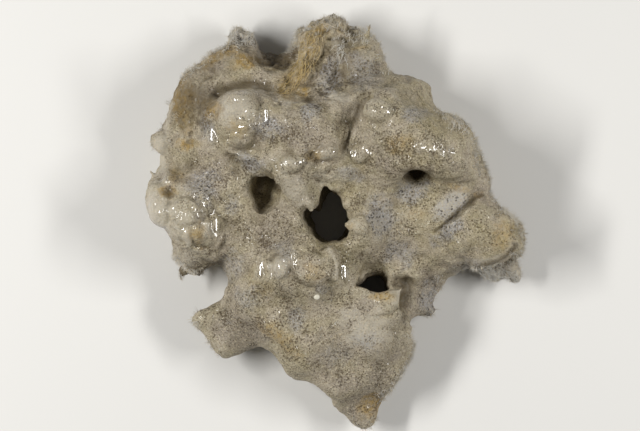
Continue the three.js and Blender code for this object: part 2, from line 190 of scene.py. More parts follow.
bodyShape = {
    "roundingVoxel": 0.6,  # for taking the facets off the solid
    "roundingPasses": 9,
    "voxel": 0.385,  # edge of the finished mesh's faces
    "softPasses": 2,
    # size and height of the skin's unevenness
    "bumps": [(6.0, 0.7), (2.8, 0.42), (1.4, 0.22), (0.85, 0.13)],
    "tornBumps": [(3.2, 0.9), (1.7, 0.5), (1.0, 0.22)],
    "wander": 3.0,  # size of the waves that bend lines, steps and swells
    "lineWander": 0.9,  # how far they bend
    "swellWander": 0.5,
    "stepRise": 0.6,  # how far a step takes to rise
    "flatRim": 0.8,  # height over which the flat cut runs into the bumps
    "filmPasses": 40,  # how smooth the film is
    "filmFloor": 5,  # no film below this height
    # outline seen from above, then height, scale and shift at each level
    "hollows": [
        ("great osculum",
         [(-1.65, 7.2), (-0.35, 5.8), (1.0, 4.3), (1.85, 2.7), (2.35, 1.2), (2.6, -0.4), (2.6, -1.6),
          (2.1, -2.9), (1.1, -4.0), (-0.4, -4.3), (-1.7, -3.7), (-3.0, -2.8), (-4.6, -1.9), (-5.9, -0.8),
          (-6.7, 0.6), (-6.7, 1.9), (-6.3, 2.8), (-5.5, 2.85), (-4.6, 2.4), (-3.9, 2.6), (-3.3, 3.5),
          (-3.0, 4.7), (-2.75, 6.3), (-2.35, 7.0)],
         [(32, 1.0, 0, 0), (18.6, 1.0, 0, 0), (17, 1.03, -0.2, 0.4), (9, 0.97, 0.5, 0.6),
          (5, 0.86, 1.0, 0.3), (-3, 0.75, 1.3, 0.2)]),
        ("plate osculum",
         [(3.3, -12.3), (4.4, -11.2), (5.8, -10.5), (7.4, -10.1), (8.9, -10.5), (10.0, -11.4),
          (10.7, -12.5), (10.6, -13.4), (8.7, -13.7), (7.2, -13.5), (6.3, -13.1), (5.0, -12.8)],
         [(30, 1.0, 0, 0), (15, 1.0, 0, 0), (10, 1.0, 0, -0.8), (-3, 1.0, 0, -1.6)]),
        ("pit",
         [(-15.4, 9.2), (-13.6, 9.9), (-11.9, 9.2), (-10.2, 7.5), (-10.7, 6.0), (-11.7, 4.4),
          (-12.6, 2.9), (-14.2, 2.0), (-15.8, 2.5), (-16.4, 4.4), (-16.1, 7.0)],
         [(30, 1.0, 0, 0), (18.5, 0.98, 0, 0), (16, 0.98, 0.3, 0.2), (13.6, 0.85, 0.9, 0.6),
          (12, 0.5, 1.2, 0.8)]),
        ("cave",
         [(13.1, 8.3), (12.9, 9.4), (13.4, 11.2), (14.5, 12.4), (16.4, 12.6), (17.7, 11.6), (18.1, 9.6),
          (17.9, 8.3), (15.6, 7.9)],
         [(21.2, 0.5, 0, 0.5), (20.2, 0.8, 0, 0.2), (18.2, 1.0, 0, 0), (16.8, 0.9, 0, 0.3),
          (15.6, 0.55, 0, 1.4)]),
        ("cave mouth",
         [(13.3, 8.8), (13.8, 9.8), (14.9, 10.5), (16.3, 10.7), (17.4, 10.1), (18.0, 9.0), (15.6, 8.6)],
         [(30, 1.0, 0, 0.1), (18, 1.0, 0, 0)]),
        ("valley head",
         [(10.6, -11.2), (11.6, -12.3), (12.8, -12.8), (12.7, -14.0), (11.6, -15.6), (11.4, -16.6),
          (13.2, -18.6), (15.6, -20.6), (17.6, -18.0), (16.6, -13.0), (14.4, -10.2), (12.0, -10.0)],
         [(30, 1.1, 0.4, 0.3), (15.5, 1.0, 0, 0), (12.0, 0.93, 0.3, 0.2), (9.8, 0.7, 1.2, 0.5)]),
        ("gap over the flap",
         [(27.6, -8.9), (28.8, -8.2), (30.4, -7.9), (31.2, -8.4), (30.0, -9.2), (28.6, -9.6)],
         [(30, 1.0, 0, 0), (9, 1.0, 0, 0), (6, 0.9, 0, 0.9), (4, 0.5, 0, 1.4)]),
        ("small arch",
         [(-6.1, 23.9), (-5.7, 24.5), (-5.0, 24.5), (-4.5, 24.0), (-5.2, 23.7)],
         [(30, 1.0, 0, 0), (17, 1.0, 0, 0), (15, 0.7, 0, 0.3)]),
        ("recess in the plate's edge",
         [(-7.5, -31.2), (-5.8, -31.2), (-4.0, -32.0), (-2.4, -33.2), (-1.0, -34.6), (-0.4, -36.0),
          (-2.6, -37.0), (-5.6, -35.2), (-8.2, -32.8)],
         [(30, 1.0, 0, 0), (-3, 1.0, 0, 0)]),
        ("notch in the tip",
         [(-18.0, 37.6), (-17.2, 39.4), (-18.0, 41.0), (-18.9, 39.4)],
         [(30, 1.0, 0, 0), (-3, 1.0, 0, 0)]),
        ("left of the tip",
         [(-20.5, 37.9), (-20.0, 40.6), (-23.6, 40.0), (-23.4, 37.2), (-21.8, 37.4)],
         [(30, 1.0, 0, 0), (-3, 1.0, 0, 0)]),
        ("right of the tip",
         [(-16.2, 36.4), (-15.6, 38.0), (-14.0, 38.0), (-14.2, 35.4), (-15.2, 35.2)],
         [(30, 1.0, 0, 0), (-3, 1.0, 0, 0)]),
    ],
    # fills put in before the hollows are cut: middle, radii
    "fills": [
        ("osculum right side", (2.7, 4.4, 14.8), (1.9, 2.5, 3.5)),
        ("over the plate osculum", (7.8, -9.0, 9.0), (3.2, 1.4, 3.6)),
        ("pit floor", (-13.2, 6.2, 9.4), (3.6, 4.4, 3.4)),
        ("under the spur", (8.8, -17.9, 13.4), (3.6, 2.6, 3.1)),
    ],
    # swellings of the surface: middle, radii, turn, height
    "swells": [
        ("pale knob", (-18.7, 21.2), (4.3, 6.0), 0, 1.7),
        ("bridge", (-8.0, 7.0), (5.0, 2.2), -55, 0.7),
        ("nose", (-0.4, 9.8), (4.6, 1.9), 0, 0.8),
        ("drop", (-10.9, -8.2), (1.6, 2.5), 8, 1.7),
        ("right boss", (-4.6, -9.0), (3.7, 3.4), 0, 1.4),
        ("ridge nodule", (-8.9, 11.8), (2.2, 1.7), -15, 1.7),
        ("second nodule", (-6.6, 12.5), (1.1, 1.0), 0, 0.7),
        ("third nodule", (-1.5, 13.8), (2.4, 1.5), 25, 1.5),
        ("nodule by the groove", (5.0, 13.8), (2.2, 1.7), 0, 1.3),
        ("sparkling knob", (8.0, 21.9), (2.8, 2.4), 0, 1.3),
        ("below the knob", (-18.3, 16.4), (3.0, 1.8), 10, 0.7),
        ("wet bead", (-10.9, 27.3), (0.9, 0.8), 0, 0.7),
        ("second bead", (-10.6, 24.4), (0.9, 0.8), 0, 0.6),
        ("crest grain", (16.1, 14.7), (1.5, 1.1), 0, 0.5),
        ("second crest grain", (20.6, 14.1), (1.4, 1.0), 0, 0.5),
        ("left lobe dome", (-29.4, 2.4), (3.4, 2.8), 0, 1.3),
        ("left lobe edge", (-34.6, 2.2), (2.2, 4.2), -8, 1.3),
        ("left lobe right", (-23.6, -3.2), (3.2, 4.6), 0, 1.6),
        ("left lobe ochre", (-27.0, -2.2), (1.2, 2.0), 0, 0.7),
        ("left lobe back", (-32.6, 8.8), (1.6, 1.3), 0, 0.9),
        ("ochre pit", (-32.8, 6.3), (1.5, 1.3), 0, -1.0),
        ("net hump", (15.6, 1.4), (2.8, 2.2), 0, 0.5),
        ("plate hump", (-11.0, -21.6), (3.8, 2.0), -30, 0.4),
        ("pale hump", (6.4, -21.0), (4.2, 3.4), 0, 0.25),
        ("saddle hump", (-16.8, -0.6), (2.8, 2.2), 0, 0.5),
    ],
    # thin sheet with a sharp edge: outline, then height and scale at each level
    "sheet": (
        [(3.6, -12.6), (5.2, -12.7), (6.3, -13.1), (6.8, -13.5), (8.6, -13.6), (10.4, -13.4),
         (12.0, -12.9), (13.4, -12.3), (12.9, -13.6), (12.1, -15.1), (11.2, -16.2), (10.7, -16.9),
         (9.5, -17.7), (6.5, -17.9), (3.5, -16.6), (2.4, -14.4)],
        [(14.8, 0.97, 0, 0), (15.4, 1.0, 0, 0), (16.4, 1.0, 0, 0), (16.9, 0.95, 0, 0)],
    ),
    # rolls lying on the surface: places as x, y, radius, then how far above the surface
    "rolls": [
        ("lobe curl", [(-31.2, 3.4, 0.3), (-29.6, 4.4, 0.5), (-27.6, 4.2, 0.6), (-26.4, 2.6, 0.6),
            (-26.6, 0.6, 0.4)], 0.0),
        ("pale rim in the lobe", [(-28.4, -0.4, 0.3), (-29.0, -2.2, 0.6), (-28.6, -4.0, 0.7),
            (-27.0, -5.1, 0.6), (-25.4, -4.9, 0.3)], 0.1),
        ("lip over the pit", [(-21.6, 14.6, 0.5), (-18.6, 13.2, 0.8), (-15.0, 12.2, 0.9),
            (-12.2, 10.4, 0.8)], -0.2),
    ],
    # spurs: places as x, y, z, radius
    "horns": [
        ("osculum nub", [(5.6, -0.4, 18.6, 2.0), (4.2, -0.3, 19.1, 1.8), (2.8, -0.2, 19.2, 1.4),
            (1.5, -0.2, 19.0, 0.8)]),
        ("osculum tooth", [(-5.8, 5.6, 19.5, 1.8), (-5.0, 4.3, 19.6, 1.5), (-4.6, 3.2, 19.6, 1.1),
            (-4.5, 2.3, 19.5, 0.6)]),
        ("left nub", [(-32.6, 16.0, 7.8, 2.4), (-34.4, 16.4, 8.0, 1.9), (-35.6, 16.6, 8.2, 1.3),
            (-36.4, 16.7, 8.2, 0.6)]),
        ("plate nub", [(-6.6, -27.8, 5.0, 1.7), (-7.8, -29.4, 4.8, 1.4), (-8.6, -30.5, 4.6, 1.0)]),
        ("left spur", [(-34.8, 8.6, 10.0, 0.8), (-36.0, 9.6, 10.4, 0.5), (-36.9, 10.8, 10.8, 0.15)]),
        ("brown spur", [(-29.8, -7.6, 7.0, 0.8), (-30.4, -9.4, 6.6, 0.55), (-30.9, -11.2, 6.2, 0.15)]),
        ("crest spur", [(6.0, 36.2, 11.2, 0.9), (6.5, 37.8, 11.8, 0.5), (6.9, 39.6, 12.4, 0.15)]),
        ("upper left tip", [(-19.6, 36.0, 7.0, 1.0), (-19.4, 37.6, 7.4, 0.6), (-19.2, 39.2, 7.8, 0.2)]),
        ("upper left prong", [(-18.6, 36.0, 7.0, 0.9), (-17.4, 37.2, 7.4, 0.5),
            (-16.4, 38.2, 7.8, 0.15)]),
    ],
    # lines pressed in or raised: path, half width, height
    "lines": [
        ("ridge groove", [(4.6, 22.9), (3.9, 21.0), (3.3, 18.8), (2.5, 16.6), (1.7, 14.4)], 0.3, -0.4),
        ("behind the right mass", [(4.6, 22.9), (6.0, 25.6), (8.5, 27.2), (12.0, 27.6),
            (16.0, 28.4)], 0.9, -0.6),
        ("right lobe crease", [(28.7, 5.5), (26.4, 4.3), (24.4, 2.9), (22.8, 1.1), (21.3, -0.3),
            (19.6, -1.5)], 0.3, -0.8),
        ("back trough", [(-24.3, 25.0), (-22.4, 26.2), (-20.9, 26.9), (-17.5, 27.8), (-14.7, 27.4),
            (-11.5, 26.3)], 1.2, -1.2),
        ("left lobe groove", [(-22.4, 1.8), (-21.8, -2.5), (-22.7, -7.5)], 1.2, -0.6),
        ("round the right boss", [(-7.4, -6.8), (-8.0, -9.2), (-7.3, -11.0), (-5.6, -12.4),
            (-3.2, -12.6)], 0.6, -0.12),
        ("round the drop", [(-9.6, -6.0), (-11.2, -5.6), (-12.6, -7.2), (-12.7, -9.4),
            (-11.5, -10.8)], 0.45, -0.35),
        ("ochre column", [(-3.2, 38.6), (-5.0, 34.8), (-6.2, 31.2), (-8.0, 28.4),
            (-9.6, 26.6)], 1.1, 0.9),
        ("furrow by the column", [(-0.9, 37.0), (-2.8, 33.0), (-4.0, 29.6), (-6.4, 27.0)], 0.7, -0.8),
        ("ochre dent", [(-4.6, 13.6), (-4.0, 12.4)], 0.8, -1.1),
        ("plate furrow", [(-6.9, -16.0), (-8.6, -19.0), (-8.2, -22.6)], 1.2, -0.4),
        ("second plate furrow", [(-1.4, -17.4), (0.6, -22.0), (0.2, -27.0)], 1.2, -0.35),
    ],
    # edges that stand above what is on their right: path, height, how far back the rise runs
    "steps": [
        ("boss edge", [(-0.2, -11.6), (0.4, -9.6), (0.4, -7.8), (-0.3, -6.0), (-1.2, -4.6)], 1.9, 2.6),
        ("right lobe over the band", [(29.6, 5.6), (26.8, 4.0), (24.8, 2.5), (22.8, 0.4),
            (20.6, -2.2)], 0.9, 3.0),
        ("right mass over the groove", [(1.4, 12.8), (2.3, 15.2), (3.2, 18.2), (4.2, 21.6),
            (5.2, 24.6)], -0.45, 3.0),
        ("ridge lip", [(-22.6, 15.2), (-19.1, 13.4), (-14.7, 12.1), (-11.9, 9.9),
            (-10.2, 7.0)], 0.9, 2.4),
        ("lobe over the flap", [(26.6, -9.0), (29.4, -8.3), (32.6, -7.0), (35.2, -4.2),
            (36.6, -1.4)], 0.9, 2.0),
        ("plate over the valley", [(16.0, -21.4), (13.2, -18.4), (11.4, -16.2), (12.0, -13.4)], 1.0, 2.4),
    ],
}

# where the tissue is torn open: ovals as x, y, radii, turn
tornPlaces = [
    (-1.0, 38.6, 6.5, 3.4, 0), (-0.8, 30.0, 3.8, 5.6, 0), (-6.5, 31.0, 2.4, 7.0, -25),
    (-26.0, 28.5, 6.0, 3.6, 35, 0.6), (-30.6, 21.0, 3.2, 6.0, 0, 0.5), (-19.0, 36.0, 3.4, 2.4, 0),
    (32.5, -10.8, 6.0, 2.4, 0, 0.6), (36.0, -4.0, 1.8, 5.0, 0, 0.6), (19.8, -19.5, 1.8, 3.6, 0),
    (-28.0, -10.4, 3.6, 1.6, 0), (-12.0, 32.0, 3.5, 2.0, 0),
]

# where the skin is even: the plate and its wing
calmPlaces = [
    (0.0, -24.0, 15.0, 9.0, -25, 0.6), (7.0, -32.0, 7.0, 9.0, 20, 0.6), (-20.0, -21.0, 8.0, 6.0, 0, 0.5),
]

# where a smooth film of water stands: ovals as x, y, radii, turn, strength; then the side it faces
filmPlaces = [
    (-24.3, 17.4, 1.1, 2.2, 20, 1, -1), (-13.7, 21.0, 1.0, 1.9, 0, 1, 1),
    (-9.3, 24.0, 1.0, 1.6, -20, 1, 0), (-14.7, -9.4, 1.0, 1.9, 0, 1, -1), (1.9, -9.6, 0.9, 1.8, 0, 1, 1),
    (-23.4, -0.3, 1.1, 2.1, 0, 1, 1), (-35.2, 2.0, 2.0, 4.0, 0, 0.7, 0), (-10.9, 27.3, 1.1, 1.0, 0, 1, 0),
    (-10.9, -8.2, 1.4, 2.1, 0, 0.8, 0), (-18.3, 27.2, 4.4, 0.9, 8, 0.8, 0),
]
# small beads of water: x, y, the side they face
beadPlaces = [
    (-11.6, 23.6, -1), (-10.8, 27.1, 1), (-19.3, 17.6, -1), (-17.6, 16.0, 1), (-9.4, 12.0, -1),
    (-8.3, 12.0, 1), (-6.5, 12.1, 1), (-1.4, 14.0, 1), (2.6, 14.2, -1), (4.0, 14.0, -1), (5.9, 14.2, 1),
    (8.3, 21.6, 1), (7.2, 21.0, -1), (16.1, 14.6, -1), (19.1, 14.5, 1), (21.2, 14.1, 1), (-35.4, 3.7, -1),
    (-34.6, 2.3, -1), (-31.8, 2.9, -1), (-27.3, 2.7, 1), (-26.8, 1.5, 1), (-10.9, -8.5, -1),
    (-10.2, -7.3, 1),
]
beadSize = (0.5, 0.65)  # mm, radii
beads = [(x, y, *beadSize, 0, 1, side) for x, y, side in beadPlaces]
filmLean = {-1: 0.42, 0: 0, 1: 0.46}  # slope that throws a lamp's light straight up, by side
filmRound = (3.0, 7.0)  # mm, radii of the swollen film across and along
filmRise = 0.15  # mm, how far it stands above the skin
filmDepth = 2  # mm; what lies deeper than this below a patch's top is under an overhang


# change of height that makes each wet patch a low dome turned to its side
def swollenFilm(places, facing):
    change = np.zeros(len(places))
    for x, y, rx, ry, turn, _, side in filmPlaces + beads:
        inside = smooth((1.4 - ovalAt(places, x, y, rx, ry, turn)) / 0.6) * facing * (side != 0)
        if inside.max() > 0.5:
            top = places[inside > 0.5, 2].max()
            inside = inside * (places[:, 2] > top - filmDepth)
            off = places - (x, y, np.average(places[:, 2], weights=inside))
            bulge = off[:, 0] ** 2 / (2 * filmRound[0]) + off[:, 1] ** 2 / (2 * filmRound[1])
            change += inside * (-side * filmLean[side] * off[:, 0] + filmRise - bulge - off[:, 2])
    return change


# the mesh in even faces, with the cutters taken out and the steps smoothed
def remeshed(mesh, voxel, passes, cutters=()):
    rough = bpy.data.objects.new("rough", mesh)
    scene.collection.objects.link(rough)
    tools = []
    for cutter in cutters:
        tool = bpy.data.objects.new("cutter", cutter)
        scene.collection.objects.link(tool)
        cut = rough.modifiers.new("cut", "BOOLEAN")
        cut.operation, cut.solver, cut.object = "DIFFERENCE", "MANIFOLD", tool
        tools.append(tool)
    remesh = rough.modifiers.new("evenFaces", "REMESH")
    remesh.mode, remesh.voxel_size = "VOXEL", voxel * mm
    rounding = rough.modifiers.new("rounding", "SMOOTH")
    rounding.factor, rounding.iterations = 0.5, passes
    result = bpy.data.meshes.new_from_object(rough.evaluated_get(bpy.context.evaluated_depsgraph_get()))
    for obj in [rough, *tools]:
        bpy.data.objects.remove(obj)
    return result


def relaxed(mesh, places, passes):  # places smoothed along the mesh's edges
    edges = np.empty(len(mesh.edges) * 2, np.int32)
    mesh.edges.foreach_get("vertices", edges)
    starts, ends = edges.reshape(-1, 2).T
    count = len(places)
    neighbours = np.bincount(edges, minlength=count)[:, None]
    for _ in range(passes):
        sums = []
        for column in places.T:
            sums.append(np.bincount(starts, column[ends], count) + np.bincount(ends, column[starts], count))
        places = 0.4 * places + 0.6 * np.stack(sums, axis=1) / neighbours
    return places


overhead = 60  # mm, from where rays are cast down


def topAt(tree, x, y):  # the surface's height in mm, seen from above
    hit = tree.ray_cast(Vector((x, y, overhead)) * mm, Vector((0, 0, -1)))[0]
    return hit.z / mm


def withPlainUnderside(mesh):  # the flat cut in few faces
    bm = bmesh.new()
    bm.from_mesh(mesh)
    cut = [f for f in bm.faces if all(v.co.z < 1e-6 for v in f.verts)]
    bmesh.ops.delete(bm, geom=cut, context="FACES")
    rim = [e for e in bm.edges if e.is_boundary]
    bmesh.ops.triangle_fill(bm, edges=rim, use_beauty=True, normal=(0, 0, -1))
    bm.to_mesh(mesh)
    triangles = sum(len(f.verts) - 2 for f in bm.faces)
    openEdges = sum(e.is_boundary for e in bm.edges)
    print("body triangles", triangles, "open edges", openEdges)
    bm.free()
    return mesh


def buildBodyMesh():
    shape = bodyShape
    bm = bmesh.new()
    bm.from_mesh(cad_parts["sponge"].data)
    bmesh.ops.remove_doubles(bm, verts=bm.verts, dist=1e-6)
    for name, middle, radii in shape["fills"]:
        addLump(bm, middle, radii)
    plain = remeshed(meshOf(bm, "plainSponge"), shape["roundingVoxel"], shape["roundingPasses"])
    cutters = []
    for name, outline, levels in shape["hollows"]:
        bm = bmesh.new()
        addShaft(bm, outline, levels)
        cutters.append(meshOf(bm, name))
    bm = bmesh.new()
    bm.from_mesh(remeshed(plain, shape["voxel"], 1, cutters))
    tree = BVHTree.FromBMesh(bm)
    growths = bmesh.new()
    addShaft(growths, *shape["sheet"])
    for name, path, rise in shape["rolls"]:
        addHorn(growths, [(x, y, topAt(tree, x, y) + rise, radius) for x, y, radius in path])
    for name, path in shape["horns"]:
        addHorn(growths, path)
    bm.from_mesh(meshOf(growths, "growths"))
    mesh = bpy.data.meshes.new("spongeBody")
    bm.to_mesh(mesh)
    bm.free()
    mesh = remeshed(mesh, shape["voxel"], shape["softPasses"])
    print("body faces", len(mesh.polygons))

    places = readVectors(mesh.vertices, "co") / mm
    normals = readVectors(mesh.vertex_normals, "vector")
    facing = smooth((normals[:, 2] + 0.1) / 0.5)  # lines and steps are only on what faces up
    height = np.zeros(len(places))
    size = shape["wander"]
    wander = np.stack([perlin(places, size, 11.0), perlin(places, size, 23.0), 0 * height], axis=1)
    bent = places + shape["lineWander"] * wander
    for name, path, width, rise in shape["lines"]:
        away, share = lineAt(bent, path)
        fading = np.sqrt(np.sin(np.pi * np.clip(share, 0.02, 0.98)))
        height += rise * facing * np.exp(-(away / width) ** 2) * fading
    for name, path, rise, reach in shape["steps"]:
        away, share = lineAt(bent, path)
        fading = smooth(share / 0.15) * smooth((1 - share) / 0.15)
        rising = smooth((away + shape["stepRise"] / 2) / shape["stepRise"])
        falling = np.exp(-(np.maximum(away, 0) / reach) ** 2)
        height += rise * facing * fading * (rising * falling)
    bent = places + shape["swellWander"] * wander
    for name, (x, y), (rx, ry), turn, rise in shape["swells"]:
        rim = ovalAt(bent, x, y, rx, ry, turn)
        height += rise * facing * np.clip(1 - rim ** 2, 0, 1) ** 0.7
    torn = ovalMask(places, tornPlaces)
    film = ovalMask(places, filmPlaces, 0.1)
    calm = np.maximum(0.85 * film, ovalMask(places, calmPlaces, 0.1))
    for size, rise in shape["bumps"]:
        height += rise * (1 - calm) * perlin(places, size, size)
    for size, rise in shape["tornBumps"]:
        height += rise * torn * (0.45 - 2 * np.abs(perlin(places, size, 2 * size)))
    flat = smooth(places[:, 2] / shape["flatRim"])  # the cut underside stays flat
    places += normals * (height * flat)[:, None]
    places += (film * flat)[:, None] * (relaxed(mesh, places, shape["filmPasses"]) - places)
    places[:, 2] += swollenFilm(places, facing * (places[:, 2] > shape["filmFloor"]))
    places[:, 2] = np.maximum(places[:, 2], 0)
    mesh.vertices.foreach_set("co", (places * mm).ravel())
    mesh.update()
    mesh = withPlainUnderside(mesh)
    mesh.shade_smooth()
    print("body sculpted")
    return mesh


# Stains and skin of the body, with painted shade among them: ovals as x, y, radii, turn, strength

bodyPaint = {
    "ochre": [
        (-30.2, 24.6, 2.4, 4.8, 10), (-24.3, 22.1, 1.7, 2.0, 0), (-29.4, 19.6, 1.6, 2.4, 0, 0.6),
        (-29.3, 15.7, 1.9, 1.1, 0), (3.0, -0.6, 1.0, 0.7, 0, 0.4), (-18.0, 31.9, 2.3, 1.6, 0),
        (-22.8, 33.4, 4.0, 1.4, 25, 0.9), (-6.5, 25.9, 1.4, 1.4, 0), (-4.1, 13.0, 1.2, 1.1, 0, 0.8),
        (12.6, 15.5, 2.6, 1.8, 0, 0.6), (33.0, -2.2, 2.0, 3.4, 0, 0.55), (28.0, 5.6, 1.2, 0.6, 10, 0.7),
        (24.0, 7.0, 2.4, 0.6, -15, 0.5), (-32.8, 6.3, 1.5, 1.2, 0), (-26.9, -2.2, 1.1, 1.9, 0, 0.8),
        (-3.9, -9.3, 2.2, 1.9, 0, 0.5), (-11.5, -21.7, 3.8, 1.5, -30, 0.65),
        (-9.3, -24.4, 2.4, 1.2, -40, 0.4), (7.6, -35.9, 3.0, 2.0, 30, 0.9),
        (9.2, -14.2, 1.9, 0.9, 0, 0.85), (1.5, 38.5, 1.6, 1.0, 0, 0.5), (4.7, 34.6, 1.8, 0.4, 8, 0.6),
        (-19.0, 18.6, 1.8, 2.0, 0, 0.45), (-14.6, -12.8, 2.4, 1.6, 0, 0.25),
        (16.0, 1.6, 1.6, 1.2, 0, 0.3), (-31.5, 9.4, 1.4, 1.8, 0, 0.5),
    ],
    "pale": [
        (-19.1, 22.0, 3.2, 3.6, 0, 0.8), (-8.0, 6.6, 4.6, 2.0, -55, 0.55),
        (-30.6, 0.6, 5.0, 6.0, 0, 0.55), (-0.5, 8.9, 3.6, 1.6, 0, 0.6), (-10.9, -8.2, 1.7, 2.5, 0, 0.75),
        (6.0, -20.4, 4.6, 3.4, 0, 0.8), (-18.8, 37.2, 3.0, 2.0, 0, 0.7), (-0.5, 39.6, 5.5, 1.6, 0, 0.6),
        (3.4, -18.0, 2.4, 1.4, 0, 0.7), (22.6, 4.4, 3.4, 1.7, 40, 0.9), (-34.9, 13.8, 1.6, 3.6, 0),
        (9.7, -0.2, 2.2, 2.0, 0, 0.6), (-10.4, -4.1, 1.8, 1.3, 0, 0.5), (32.2, -10.6, 6.0, 2.2, 0, 0.9),
        (-33.6, 2.5, 3.0, 4.6, 0, 0.7), (-29.0, -6.6, 3.0, 1.6, 20, 0.5), (0.4, 35.4, 1.2, 1.6, 0, 0.7),
        (0.6, 24.8, 1.8, 1.3, 0), (-35.7, 2.0, 1.6, 4.0, 0, 0.8), (-28.6, -3.2, 0.7, 1.8, 0, 0.9),
        (3.4, -0.2, 1.4, 1.0, 0, 0.6), (-9.0, 11.9, 1.3, 1.0, 0, 0.6), (-2.8, 13.0, 1.6, 0.9, 30, 0.5),
        (-33.4, -4.0, 1.4, 2.0, 0, 0.6),
    ],
    # thin translucent skin, and painted shade under the ridge's lip and under its right end
    "grey": [
        (-13.2, 18.8, 2.4, 1.8, 0), (15.3, 21.5, 2.4, 1.4, 0, 0.8), (-5.0, 21.8, 1.8, 1.6, 0),
        (8.7, 1.6, 2.4, 3.2, 0), (15.3, 6.2, 2.8, 1.8, 0), (-25.6, 7.4, 2.6, 3.0, 0),
        (-16.2, 11.8, 2.8, 1.3, -25), (22.6, 3.4, 3.2, 1.8, 40), (22.2, -1.6, 3.4, 1.4, 40),
        (13.1, -5.7, 3.0, 2.2, 0, 0.7), (19.1, -16.2, 1.8, 3.4, 0), (-16.9, -14.5, 2.6, 1.8, 0, 0.6),
        (-20.2, -8.0, 1.8, 2.6, 0, 0.6), (-7.6, -18.5, 1.6, 2.4, 0, 0.7), (6.4, -23.2, 2.4, 1.8, 0, 0.7),
        (-1.0, 28.6, 2.4, 3.0, 0), (5.5, 30.2, 3.2, 3.6, 0, 0.7), (-19.0, 36.8, 3.0, 1.6, 0),
        (32.0, -10.8, 5.0, 2.0, 0, 0.6), (-25.0, 19.0, 1.6, 3.0, 0, 0.7), (0.5, -26.0, 3.0, 2.0, 0, 0.4),
        (-20.4, 3.4, 1.6, 2.0, 0, 0.6), (3.2, 9.6, 2.2, 1.2, -20, 0.6), (-10.0, -5.2, 2.0, 1.4, 0, 0.6),
        (26.4, -9.0, 2.6, 1.6, 20, 0.6), (-2.2, -12.8, 1.8, 1.0, 0, 0.6),
    ],
    # real dark stains, dark spots and the spur's tip, with painted shade in the bay, the cave, the crest's
    # crevices, the small arch and the ochre pit, and a darker tone over saddle, ridge, crest and flank
    "brown": [
        (-11.5, 32.6, 4.4, 2.2, 0), (-27.4, 24.5, 3.4, 5.0, 30, 0.8), (-2.2, 30.2, 1.3, 1.7, 0, 0.8),
        (2.4, 32.0, 3.6, 5.4, 0, 0.5), (-29.4, 24.6, 3.6, 6.0, 10, 0.55),
        (-23.0, 31.4, 5.0, 2.6, 30, 0.3), (-14.0, -1.0, 6.5, 4.5, 0, 0.2),
        (-6.0, 17.6, 7.0, 3.6, -8, 0.14), (15.6, 9.6, 2.6, 1.3, 0, 0.9), (-28.6, 29.4, 3.0, 1.6, 40, 0.4),
        (-30.6, -9.6, 1.0, 1.6, 0, 0.9), (1.7, 29.6, 0.9, 1.8, 0), (-26.8, 21.9, 0.9, 0.7, 0),
        (-26.7, 19.8, 1.0, 0.7, 0), (-25.6, 18.4, 0.7, 0.9, 0, 0.8), (-28.2, 23.6, 0.6, 0.8, 0, 0.9),
        (-32.8, 6.3, 0.9, 0.7, 0, 0.8), (-5.3, 24.2, 1.0, 0.6, 0), (-26.2, -3.0, 0.6, 1.6, 0, 0.6),
    ],
    "open": [
        (-14.0, -1.0, 6.5, 4.5, 0), (-6.0, 18.0, 8.0, 4.5, -8), (-15.0, -15.5, 7.0, 4.0, 0),
        (14.0, 14.0, 7.0, 5.0, -20), (-26.0, -6.5, 4.0, 3.0, 0), (-4.5, -9.2, 3.2, 2.8, 0),
        (-17.0, -19.0, 8.0, 3.0, 0, 0.8), (27.0, -3.0, 5.0, 5.0, 0, 0.6), (-24.0, 9.0, 6.0, 4.0, 0, 0.5),
        (-1.0, -26.0, 9.0, 5.0, -20, 0.8), (6.0, -33.0, 5.0, 6.0, 20, 0.6),
        (10.0, -5.0, 7.0, 4.0, 0, 0.6),
    ],
    "wet": [
        (-19.1, 20.0, 4.0, 4.6, 0, 0.7), (-34.6, 1.6, 3.2, 5.6, 0), (-28.4, 1.5, 4.0, 4.4, 0),
        (-33.0, 7.6, 2.4, 2.6, 0, 0.9), (-8.6, 12.0, 2.8, 1.6, 0), (-2.2, 13.6, 2.6, 1.4, 0, 0.8),
        (-10.6, -8.4, 2.4, 3.0, 0), (-9.6, 25.0, 2.6, 3.4, 0), (8.2, 21.8, 2.8, 2.2, 0, 1.0),
        (18.0, 14.6, 4.6, 1.4, -6, 1.0), (4.9, 13.9, 1.8, 1.6, 0, 0.9), (-18.0, 26.4, 5.0, 1.4, 8, 0.8),
        (-18.3, 16.6, 2.0, 1.4, 0),
    ],
}
